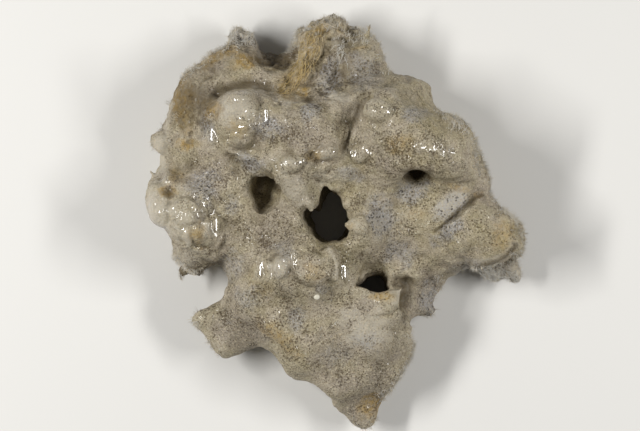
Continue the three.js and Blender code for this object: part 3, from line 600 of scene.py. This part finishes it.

# lines of colour, such as painted shade in creases and painted shadows beside edges: mask, path, half
# width, strength, then its heights
linePaint = [
    # painted shade: dark lines in the right lobe's crease, the ridge groove, the back trough, a crevice by
    # the small arch and the ochre dent, and faint rings in the grooves round the boss and the drop
    ("brown", [(28.7, 5.5), (26.4, 4.3), (24.4, 2.9), (22.8, 1.1), (21.3, -0.3),
        (19.6, -1.5)], 0.34, 0.95),
    ("brown", [(4.6, 22.9), (3.9, 21.0), (3.3, 18.8), (2.5, 16.6), (1.7, 14.4)], 0.32, 0.8),
    ("brown", [(-24.3, 25.0), (-22.4, 26.2), (-19.5, 27.4), (-16.3, 27.7), (-13.5, 27.3)], 1.0, 0.85),
    ("brown", [(-6.6, 24.6), (-5.0, 23.6), (-3.2, 22.2)], 0.35, 0.7),
    ("brown", [(-4.6, 13.6), (-4.0, 12.4)], 0.5, 0.8),
    ("brown", [(-3.2, -12.6), (-5.6, -12.4), (-7.3, -11.0), (-8.0, -9.2)], 0.4, 0.3),
    ("brown", [(-9.6, -6.0), (-11.2, -5.6), (-12.6, -7.2)], 0.4, 0.3),
    # painted shadow right of the boss edge, and a painted highlight along its top
    ("brown", [(0.8, -10.2), (1.0, -8.0), (0.3, -6.0), (-0.6, -4.6)], 0.4, 0.55),
    ("pale", [(0.2, -10.2), (0.3, -8.0), (-0.5, -6.0), (-1.4, -4.6)], 0.4, 0.8),
    # painted shadow that the plate's spur casts on the valley below it
    ("brown", [(13.6, -12.8), (13.2, -14.2), (12.6, -15.8), (12.2, -16.8),
        (13.6, -18.4)], 1.0, 0.8, 0, 15.5),
    # painted shadow under the lip of the ridge
    ("brown", [(-21.4, 13.2), (-18.4, 11.8), (-14.8, 10.7), (-12.6, 9.4)], 0.9, 0.3),
    # painted shadow along the right lobe's lower edge, over the flap
    ("brown", [(27.4, -8.7), (29.4, -8.2), (31.4, -7.7), (33.6, -6.5), (35.6, -4.2)], 0.5, 0.8),
    ("pale", [(27.2, -7.8), (29.4, -7.2), (31.4, -6.8), (33.2, -5.8), (35.0, -3.6)], 0.4, 0.7),
    ("pale", [(11.0, -13.5), (12.7, -12.9), (12.3, -14.4), (11.5, -15.6)], 0.6, 1.0, 15.5, 40),
    ("ochre", [(-3.2, 38.6), (-4.6, 35.4), (-5.8, 32.2), (-7.4, 29.4), (-9.8, 26.4)], 2.0, 1.0),
    ("pale", [(-29.6, 28.4), (-32.4, 24.0), (-33.6, 19.6), (-33.8, 16.0)], 0.8, 0.8),
    # painted shadow in the gap between the right lobe and the flap
    ("brown", [(28.2, -9.3), (31.0, -8.9), (33.6, -8.0), (35.6, -6.2)], 0.7, 0.9, 0, 9),
    ("pale", [(28.0, -11.0), (31.0, -10.6), (34.0, -10.2), (37.0, -9.6)], 2.0, 1.0, 0, 8.5),
    ("pale", [(-36.4, 6.0), (-37.0, 2.0), (-36.0, -2.0), (-33.2, -4.8)], 1.2, 0.9),
    ("pale", [(-33.6, 16.0), (-34.6, 13.0), (-34.0, 10.6)], 1.0, 0.9),
]


# how paint lies on the body, in mm
painting = {
    "ragged": 0.6,
    "soft": 1.1,
    "heights": (0, 40),  # for lines of colour that are at any height
    "finePasses": 30,  # smoothing that finds the small dips, for painted shade, and the small crowns, for a painted highlight
    "fineDepth": 0.45,
    "deepPasses": 150,  # smoothing that finds the broad hollows, for painted shade in them
    "deepDepth": 2.8,
}


def paintBody(mesh):
    places = readVectors(mesh.vertices, "co") / mm
    normals = readVectors(mesh.vertex_normals, "vector")
    facing = smooth((normals[:, 2] + 0.35) / 0.6)  # less paint on what faces down
    masks = {}
    for name, ovals in bodyPaint.items():
        masks[name] = ovalMask(places, ovals, painting["ragged"], painting["soft"]) * facing
    masks["torn"] = ovalMask(places, tornPlaces)
    masks["film"] = ovalMask(places, filmPlaces + beads, 0.1)
    for name, path, width, strength, *heights in linePaint:
        low, high = heights or painting["heights"]
        level = smooth(places[:, 2] - low + 0.5) * smooth(high - places[:, 2] + 0.5)
        away = lineAt(places, path)[0]
        masks[name] = np.maximum(masks[name], strength * level * facing * np.exp(-(away / width) ** 2))

    # painted shade in small dips and a painted highlight on small crowns, from the height against a
    # smoothed copy
    rounded = relaxed(mesh, places, painting["finePasses"])
    depth = ((rounded - places) * normals).sum(axis=1)  # below the smoothed surface
    masks["hollow"] = smooth(depth / painting["fineDepth"])
    masks["crown"] = smooth(-depth / painting["fineDepth"])
    # painted shade: darker over broad hollows, such as the valley, the trough and round the lumps
    depth = ((relaxed(mesh, rounded, painting["deepPasses"]) - places) * normals).sum(axis=1)
    masks["deepShade"] = smooth(depth / painting["deepDepth"])
    for name, mask in masks.items():
        attribute = mesh.attributes.new(name, "FLOAT", "POINT")
        attribute.data.foreach_set("value", mask.astype(np.float32))
    print("body painted")
    return list(masks)


# Wet sponge tissue: a thin living skin over a felt of spicules, pricked by intake pores.
# The eye gets a matt tan felt full of dark pinpricks, greyer where the skin is thin
# and glassy where water stands on it.

tissue = {
    # noises: size in mm, detail
    "grain": {
        "region": (13.0, 3), "cloud": (6.0, 3), "cluster": (2.6, 3), "mottle": (1.9, 3), "rag": (1.4, 3),
        "streak": (0.9, 3), "fleck": (0.4, 1), "speck": (0.3, 1), "ripple": (1.5, 0),
    },
    "grainRoughness": 0.62,
    "jitter": 0.5,  # mm, size and reach of the noise that bends the cells
    "netCell": 0.8,  # mm, in the net of thin skin
    "poreCell": 0.43,  # mm; pores are 0.2 to 0.3 mm wide, in clusters where the tissue is open
    # pore radius in cells: what each noise adds, and what the open places add
    "cloudRadius": (-0.1, 0.06),
    "clusterRadius": (0.1, 0.41),
    "openRadius": 0.1,
    "fleckRelief": 0.6,
    "feltBump": (0.9, 0.00035),  # strength, height in m
    "rippleBump": (0.7, 0.0016),
    # from dry to wet
    "roughness": (0.62, 0.45),
    "coat": (0.07, 1.0),
    # what is mixed over the skin, from the lowest layer to the highest; the layers over small dips, broad
    # hollows and dark lines carry painted shade as well as real stains, and the one over small crowns a
    # painted highlight
    "skin": "#9a9076",
    "layers": [
        ("olive", "#847a60"), ("dense", "#796e56"), ("light", "#a4998a"), ("dull", "#857b71"),
        ("warm", "#93875f"), ("dark", "#776d59"), ("crown", "#aaa18d"), ("grey", "#827f7b"),
        ("pale", "#b0a898"), ("fleck", "#bcb097"), ("deepShade", "#544a37"), ("ochre", "#9c824c"),
        ("brown", "#43361f"), ("torn", "#55482f"), ("hollow", "#544830"), ("net", "#9f9d9b"),
        ("speck", "#63553a"), ("pores", "#4e3d25"), ("holes", "#3a3431"),
    ],
}


def wetSpongeTissue(maskNames):
    material, tree = newMaterial("wetSpongeTissue")
    place = addNode(tree, "ShaderNodeTexCoord", out="Object")
    mask = {}
    for name in maskNames:
        mask[name] = addNode(tree, "ShaderNodeAttribute", {"attribute_name": name}, out="Fac")
    grain = {}
    for name, (size, detail) in tissue["grain"].items():
        grain[name] = addNode(tree, "ShaderNodeTexNoise", {}, {
            "Vector": place, "Scale": 1000 / size, "Detail": detail, "Roughness": tissue["grainRoughness"]})

    jitter = addNode(tree, "ShaderNodeTexNoise", {},
                     {"Vector": place, "Scale": 1000 / tissue["jitter"], "Detail": 1.0}, "Color")
    wander = addNode(tree, "ShaderNodeVectorMath", {"operation": "MULTIPLY_ADD"},
                     {0: jitter, 1: [tissue["jitter"] * mm] * 3, 2: place})
    cell = {"Vector": wander, "Scale": 1000 / tissue["netCell"]}
    net = addNode(tree, "ShaderNodeTexVoronoi", {"feature": "DISTANCE_TO_EDGE"}, cell)
    gaps = addNode(tree, "ShaderNodeTexVoronoi", {}, cell, "Distance")
    cell = {"Vector": wander, "Scale": 1000 / tissue["poreCell"]}
    pits = addNode(tree, "ShaderNodeTexVoronoi", {}, cell, "Distance")

    low, high = tissue["cloudRadius"]
    clouds = addNode(tree, "ShaderNodeMapRange", {}, {0: grain["cloud"], 1: 0.35, 2: 0.65, 3: low, 4: high})
    low, high = tissue["clusterRadius"]
    clusters = addNode(tree, "ShaderNodeMapRange", {},
                       {0: grain["cluster"], 1: 0.38, 2: 0.64, 3: low, 4: high})
    radius = addNode(tree, "ShaderNodeMath", {}, {0: clouds, 1: clusters})
    radius = addNode(tree, "ShaderNodeMath", {"operation": "MULTIPLY_ADD"},
                     {0: mask["open"], 1: tissue["openRadius"], 2: radius})
    poreDepth = addNode(tree, "ShaderNodeMath", {"operation": "SUBTRACT"}, {0: radius, 1: pits})

    share = {}  # each pattern as a share from its least to its most
    for name, source, low, high, least, most in [
        ("light", grain["cloud"], 0.58, 0.36, 0, 0.6),
        ("dull", grain["region"], 0.48, 0.66, 0, 0.6),
        ("warm", grain["region"], 0.48, 0.32, 0, 0.5),
        ("dark", grain["mottle"], 0.5, 0.72, 0, 0.55),
        ("dense", grain["cluster"], 0.48, 0.68, 0, 0.4),
        ("fleck", grain["fleck"], 0.48, 0.7, 0, 0.65),
        ("speck", grain["speck"], 0.48, 0.3, 0, 0.7),
        ("streak", grain["streak"], 0.35, 0.62, 0.3, 1.0),
        ("ragged", grain["rag"], 0.52, 0.36, 0, 0.6),
        ("pores", poreDepth, -0.08, 0.13, 0, 0.66),
        ("net", net, 0.16, 0.05, 0, 0.55),
        ("holes", gaps, 0.34, 0.22, 0, 0.85),
        ("olive", mask["open"], 0, 1, 0, 0.65),
        ("bare", mask["pale"], 0.2, 0.9, 1.0, 0.15),
    ]:
        share[name] = addNode(tree, "ShaderNodeMapRange", {"interpolation_type": "SMOOTHSTEP"},
                              {0: source, 1: low, 2: high, 3: least, 4: most})
    # the shares below include painted shade over small dips, broad hollows and dark lines, mixed with real
    # dark stains, and a painted highlight on small crowns
    for name, a, b in [
        ("pores", share["pores"], share["bare"]), ("speck", share["speck"], share["bare"]),
        ("ochre", mask["ochre"], share["streak"]), ("torn", mask["torn"], share["ragged"]),
        ("net", mask["grey"], share["net"]), ("holes", mask["grey"], share["holes"]),
        ("grey", mask["grey"], 0.6), ("pale", mask["pale"], 0.8), ("brown", mask["brown"], 0.85),
        ("hollow", mask["hollow"], 0.5), ("crown", mask["crown"], 0.5), ("deepShade", mask["deepShade"], 0.8),
    ]:
        share[name] = addNode(tree, "ShaderNodeMath", {"operation": "MULTIPLY"}, {0: a, 1: b})

    skin = linear(tissue["skin"])
    for name, hexColour in tissue["layers"]:
        links = {0: share[name], 6: skin, 7: linear(hexColour)}
        skin = addNode(tree, "ShaderNodeMix", {"data_type": "RGBA"}, links, 2)

    relief = addNode(tree, "ShaderNodeMath", {"operation": "MULTIPLY"},
                     {0: grain["fleck"], 1: tissue["fleckRelief"]})
    relief = addNode(tree, "ShaderNodeMath", {"operation": "SUBTRACT"}, {0: relief, 1: share["pores"]})
    strength, rise = tissue["feltBump"]
    feltBump = addNode(tree, "ShaderNodeBump", {},
                       {"Strength": strength, "Distance": rise, "Height": relief})
    strength, rise = tissue["rippleBump"]
    broken = addNode(tree, "ShaderNodeMapRange", {}, {0: mask["film"], 3: strength, 4: 0.0})
    filmBump = addNode(tree, "ShaderNodeBump", {},
                       {"Strength": broken, "Distance": rise, "Height": grain["ripple"]})

    water = addNode(tree, "ShaderNodeMath", {"operation": "MAXIMUM"}, {0: mask["film"], 1: mask["wet"]})
    byWater = {}
    for name in ("roughness", "coat"):
        dry, wet = tissue[name]
        byWater[name] = addNode(tree, "ShaderNodeMapRange", {}, {0: water, 3: dry, 4: wet})
    shader = addNode(tree, "ShaderNodeBsdfPrincipled", {}, {
        "Base Color": skin,
        "Roughness": byWater["roughness"],
        "IOR": 1.38,
        "Subsurface Weight": 0.12,
        "Subsurface Radius": (0.0008, 0.0006, 0.0004),
        "Subsurface Scale": 1.0,
        "Coat Weight": byWater["coat"],
        "Coat Roughness": 0.05,
        "Coat IOR": 1.55,
        "Normal": feltBump,
        "Coat Normal": filmBump,
    })
    addNode(tree, "ShaderNodeOutputMaterial", {}, {"Surface": shader})
    return material


bodyMesh = buildBodyMesh()
spongeBody = newPiece("spongeBody", bodyMesh, wetSpongeTissue(paintBody(bodyMesh)))
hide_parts("sponge")


# Spicule needles and torn fibres: thin tapered strands joined in one mesh

def strandMesh(name, paths, thickness, stains, rng):  # paths as strand, step, xyz in mm
    count, steps = paths.shape[:2]
    along = np.gradient(paths, axis=1)
    along /= np.linalg.norm(along, axis=2, keepdims=True)
    side = np.cross(along, rng.normal(size=(count, 1, 3)))
    side /= np.linalg.norm(side, axis=2, keepdims=True)
    other = np.cross(along, side)
    taper = np.linspace(1, 0.12, steps)[None, :, None] * thickness[:, None, None]
    angles = (0, 2.094, 4.189)  # three-sided
    corners = [paths + taper * (math.cos(t) * side + math.sin(t) * other) for t in angles]
    points = np.stack(corners, axis=2).reshape(-1, 3) * mm
    faces = []
    for s in range(0, 3 * (steps - 1), 3):
        for k in range(3):
            j = (k + 1) % 3
            faces.append((s + k, s + j, s + 3 + j, s + 3 + k))
    quads = (np.array(faces)[None] + 3 * steps * np.arange(count)[:, None, None]).reshape(-1, 4)
    mesh = bpy.data.meshes.new(name)
    mesh.from_pydata(points, [], quads.tolist())
    stain = mesh.attributes.new("stain", "FLOAT", "POINT")
    stain.data.foreach_set("value", np.repeat(stains, 3 * steps).astype(np.float32))
    mesh.shade_smooth()
    print(name, count, "strands,", 2 * len(quads), "triangles")
    return mesh


def pick(rng, weight, count):
    return rng.choice(len(weight), size=count, p=weight / weight.sum())


# Fringe of needles on torn edges: ovals as x, y, radii, turn, strength

needleFringe = {
    "seed": 5,
    "tufts": 1250,
    "needles": 12,  # in a tuft
    "length": (0.4, 1.4),  # mm
    "thickness": 0.05,  # drawn about three times as thick as real spicules, to show
    "tuftLean": 0.5,  # how far tufts and needles lean away from straight out
    "needleLean": 0.3,
    "tuftWidth": 0.35,
    "bend": 0.12,
    "lowest": 0.1,  # above the floor
    "places": [
        (-33.2, 21.0, 1.8, 6.0, 0, 0.25), (-29.4, 30.4, 3.0, 2.0, 40, 0.5),
        (-23.0, 36.0, 5.0, 2.4, 35, 0.8), (-18.6, 37.6, 3.0, 2.4, 0), (0.0, 40.0, 8.0, 4.0, 0),
        (-6.6, 36.5, 3.0, 4.0, 0), (6.6, 37.4, 2.2, 3.0, 0), (9.4, 33.0, 2.0, 4.0, 0, 0.3),
        (29.4, 12.0, 2.4, 7.0, 15, 0.6), (24.0, 21.0, 3.0, 4.0, 35, 0.4), (31.4, -9.6, 5.0, 1.6, 0, 0.8),
        (35.4, 0.0, 3.0, 5.0, 0), (37.0, -5.0, 2.4, 4.0, 0), (33.0, -12.2, 6.0, 2.6, 0),
        (37.4, -11.0, 2.0, 3.0, 0), (20.2, -20.2, 3.0, 3.0, 0), (20.8, -15.0, 1.5, 4.0, 0, 0.4),
        (14.6, -27.0, 2.0, 5.0, 0), (12.0, -33.0, 3.0, 4.0, -30), (-28.4, -19.4, 2.4, 2.4, 0),
        (-25.0, -25.0, 2.4, 3.4, 0, 0.3), (-28.0, -11.0, 4.0, 2.2, 0), (-31.6, -8.6, 2.4, 2.4, 0),
        (-35.6, 16.6, 1.6, 2.0, 0, 0.5), (6.0, -41.0, 4.0, 2.0, 0, 0.4),
    ],
}


def buildFringe(bodyMesh):
    fringe, rng = needleFringe, np.random.default_rng(needleFringe["seed"])
    places = readVectors(bodyMesh.vertices, "co") / mm
    normals = readVectors(bodyMesh.vertex_normals, "vector")
    steep = smooth((0.8 - np.abs(normals[:, 2])) / 0.5)
    raised = smooth((places[:, 2] - 1.2) / 2)
    weight = ovalMask(places, fringe["places"]) * steep * raised
    tufts = np.repeat(pick(rng, weight, fringe["tufts"]), fringe["needles"])
    leans = fringe["tuftLean"] * rng.normal(size=(fringe["tufts"], 3))
    leans = np.repeat(leans, fringe["needles"], axis=0)
    spread = places[tufts] + fringe["tuftWidth"] * rng.normal(size=(len(tufts), 3))
    surface = KDTree(len(places))
    for i, place in enumerate(places):
        surface.insert(place, i)
    surface.balance()
    roots = np.array([surface.find(place)[1] for place in spread])
    aims = normals[roots] + leans + fringe["needleLean"] * rng.normal(size=(len(roots), 3))
    aims /= np.linalg.norm(aims, axis=1, keepdims=True)
    lengths = rng.uniform(*fringe["length"], len(roots)) * (0.45 + 0.55 * rng.random(len(roots)))
    steps = np.linspace(-0.15, 1, 3)
    bends = fringe["bend"] * rng.normal(size=(len(roots), 3))
    ways = aims[:, None] * steps[:, None] + bends[:, None] * (steps ** 2)[:, None]
    paths = places[roots][:, None] + lengths[:, None, None] * ways
    paths[:, :, 2] = np.maximum(paths[:, :, 2], fringe["lowest"])
    stains = np.clip(0.15 + 0.25 * rng.normal(size=len(roots)), 0, 1)
    return strandMesh("spiculeFringe", paths, np.full(len(roots), fringe["thickness"]), stains, rng)


# Torn fibres lying on the crest, the upper left tip and the flap:
# places, then the way they run and its spread in degrees, and how ochre they are

tornFibres = {
    "seed": 11,
    "count": 1100,
    "length": (0.9, 3.0),  # mm
    "thickness": (0.04, 0.08),
    "lift": 0.1,
    "steps": 5,  # places along a fibre
    "stray": 0.12,  # how far each is off the way it runs
    "zones": [
        ((-4.2, 36.0, 2.0, 3.6, -20), 247, 9, 0.8), ((-6.2, 31.6, 1.8, 3.4, -18), 250, 9, 0.85),
        ((-8.4, 28.2, 1.6, 2.6, -40), 232, 9, 0.9), ((1.2, 34.2, 0.8, 1.4, 0), 255, 25, 0.1),
        ((-0.6, 39.0, 2.0, 0.8, 0), 90, 50, 0.3), ((-18.8, 36.6, 2.4, 1.8, 0), 80, 40, 0.1),
        ((33.0, -10.6, 4.4, 1.8, 0), 285, 40, 0.05), ((30.6, -10.4, 3.0, 1.6, 0), 270, 50, 0.0),
    ],
}


def buildFibres(bodyMesh):
    fibres, rng = tornFibres, np.random.default_rng(tornFibres["seed"])
    places = readVectors(bodyMesh.vertices, "co") / mm
    normals = readVectors(bodyMesh.vertex_normals, "vector")
    surface = BVHTree.FromPolygons(places.tolist(), [list(face.vertices) for face in bodyMesh.polygons])
    room = sum(oval[2] * oval[3] for oval, *_ in fibres["zones"])
    paths, stains = [], []
    for oval, way, spread, ochre in fibres["zones"]:
        weight = ovalMask(places, [oval], 0.3) * smooth((normals[:, 2] + 0.2) / 0.4)
        count = int(fibres["count"] * oval[2] * oval[3] / room)
        for root in pick(rng, weight, count):
            angle = math.radians(way + spread * rng.normal())
            aim = Vector((math.cos(angle), math.sin(angle), 0.1))
            step = rng.uniform(*fibres["length"]) / (fibres["steps"] - 1) * aim
            spot, path = Vector(places[root]), []
            for _ in range(fibres["steps"]):
                found, normal = surface.find_nearest(spot)[:2]
                path.append(found + fibres["lift"] * rng.uniform(0, 2.5) * normal)
                spot = path[-1] + step + fibres["stray"] * Vector(rng.normal(size=3))
            paths.append(path)
            stains.append(ochre + 0.2 * rng.normal())
    thickness = rng.uniform(*fibres["thickness"], len(paths))
    return strandMesh("tornFibres", np.array(paths), thickness, np.clip(stains, 0, 1), rng)


# Glassy silica needles and wet torn fibres: whitish hairs that catch the light,
# ochre where the tissue is stained

def silicaNeedles():
    material, tree = newMaterial("silicaNeedles")
    stain = addNode(tree, "ShaderNodeAttribute", {"attribute_name": "stain"}, out="Fac")
    links = {0: stain, 6: linear("#cbc8c0"), 7: linear("#c0a76e")}
    colour = addNode(tree, "ShaderNodeMix", {"data_type": "RGBA"}, links, 2)
    shader = addNode(tree, "ShaderNodeBsdfPrincipled", {},
                     {"Base Color": colour, "Roughness": 0.4, "IOR": 1.46})
    addNode(tree, "ShaderNodeOutputMaterial", {}, {"Surface": shader})
    return material


needleLook = silicaNeedles()
newPiece("spiculeFringe", buildFringe(bodyMesh), needleLook)
newPiece("tornFibres", buildFibres(bodyMesh), needleLook)


# White shell grain lying on the plate

shellGrain = {
    "place": (-3.6, -14.3),  # mm
    "radii": (0.62, 0.58, 0.4),
    "turn": 25,
    "rise": 0.15,
    "lump": 0.06,
    "lumpSize": 0.5,
    "cloud": 0.4,
}


def wornShell():
    material, tree = newMaterial("wornShell")  # chalky white, worn smooth by sand
    place = addNode(tree, "ShaderNodeTexCoord", out="Object")
    cloud = addNode(tree, "ShaderNodeTexNoise", {}, {"Vector": place, "Scale": 1000 / shellGrain["cloud"]})
    links = {0: cloud, 6: linear("#b9b3a0"), 7: linear("#d8d3c2")}
    colour = addNode(tree, "ShaderNodeMix", {"data_type": "RGBA"}, links, 2)
    shader = addNode(tree, "ShaderNodeBsdfPrincipled", {}, {"Base Color": colour, "Roughness": 0.45})
    addNode(tree, "ShaderNodeOutputMaterial", {}, {"Surface": shader})
    return material


def buildGrain(bodyMesh):
    places = readVectors(bodyMesh.vertices, "co").tolist()
    surface = BVHTree.FromPolygons(places, [list(face.vertices) for face in bodyMesh.polygons])
    x, y = shellGrain["place"]
    bm = bmesh.new()
    middle = (x, y, topAt(surface, x, y) + shellGrain["rise"])
    addLump(bm, middle, shellGrain["radii"], shellGrain["turn"])
    for vert in bm.verts:
        uneven = noise.noise(vert.co / (shellGrain["lumpSize"] * mm))
        vert.co += vert.normal * shellGrain["lump"] * mm * uneven
    mesh = meshOf(bm, "shellGrain")
    mesh.shade_smooth()
    return mesh


newPiece("shellGrain", buildGrain(bodyMesh), wornShell())


# Floor, light and camera

def paleBoard():
    material, tree = newMaterial("paleCardFloor")  # matt white card, laid flat
    place = addNode(tree, "ShaderNodeTexCoord", out="Object")
    fibre = addNode(tree, "ShaderNodeTexNoise", {}, {"Vector": place, "Scale": 900.0, "Detail": 2.0})
    bump = addNode(tree, "ShaderNodeBump", {}, {"Strength": 0.1, "Distance": 0.0001, "Height": fibre})
    shader = addNode(tree, "ShaderNodeBsdfPrincipled", {},
                     {"Base Color": linear("#d9d7d2"), "Roughness": 0.85, "Normal": bump})
    addNode(tree, "ShaderNodeOutputMaterial", {}, {"Surface": shader})
    return material


studio = {
    "floorSize": 3.0,  # m
    "cameraPlace": (-2.98, 1.59, 645.0),  # mm, straight above
    "lens": 180.0,
    "strips": [  # place in mm, size in mm, watts
        ((-330, 40, 330), (270, 45), 2.1),
        ((340, 20, 300), (270, 45), 1.4),
    ],
    "aim": (0, 0, 12),  # mm, where the strips point
    "sky": ("#f2f4f7", 0.13),
}


def buildStudio():
    bpy.ops.mesh.primitive_plane_add(size=studio["floorSize"], location=(0, 0, 0))
    floor = bpy.context.object
    floor.name = "floor"
    floor.data.materials.append(paleBoard())

    for i, (place, size, watts) in enumerate(studio["strips"]):
        light = bpy.data.lights.new(f"strip{i}", "AREA")
        light.shape = "RECTANGLE"
        light.size, light.size_y = size[0] * mm, size[1] * mm
        light.energy = watts
        lamp = bpy.data.objects.new(f"strip{i}", light)
        lamp.location = Vector(place) * mm
        aim = Vector(studio["aim"]) * mm - lamp.location
        lamp.rotation_euler = aim.to_track_quat("-Z", "Y").to_euler()
        scene.collection.objects.link(lamp)

    world = bpy.data.worlds.new("softSky")
    scene.world = world
    world.use_nodes = True
    background = world.node_tree.nodes["Background"]
    background.inputs["Color"].default_value = linear(studio["sky"][0])
    background.inputs["Strength"].default_value = studio["sky"][1]

    camera = bpy.data.cameras.new("overhead")
    camera.lens = studio["lens"]
    camera.sensor_width = 36
    camera.clip_end = 10
    eye = bpy.data.objects.new("overhead", camera)
    eye.location = Vector(studio["cameraPlace"]) * mm
    scene.collection.objects.link(eye)
    scene.camera = eye
    scene.view_settings.view_transform = "Standard"
    print("studio set")


buildStudio()
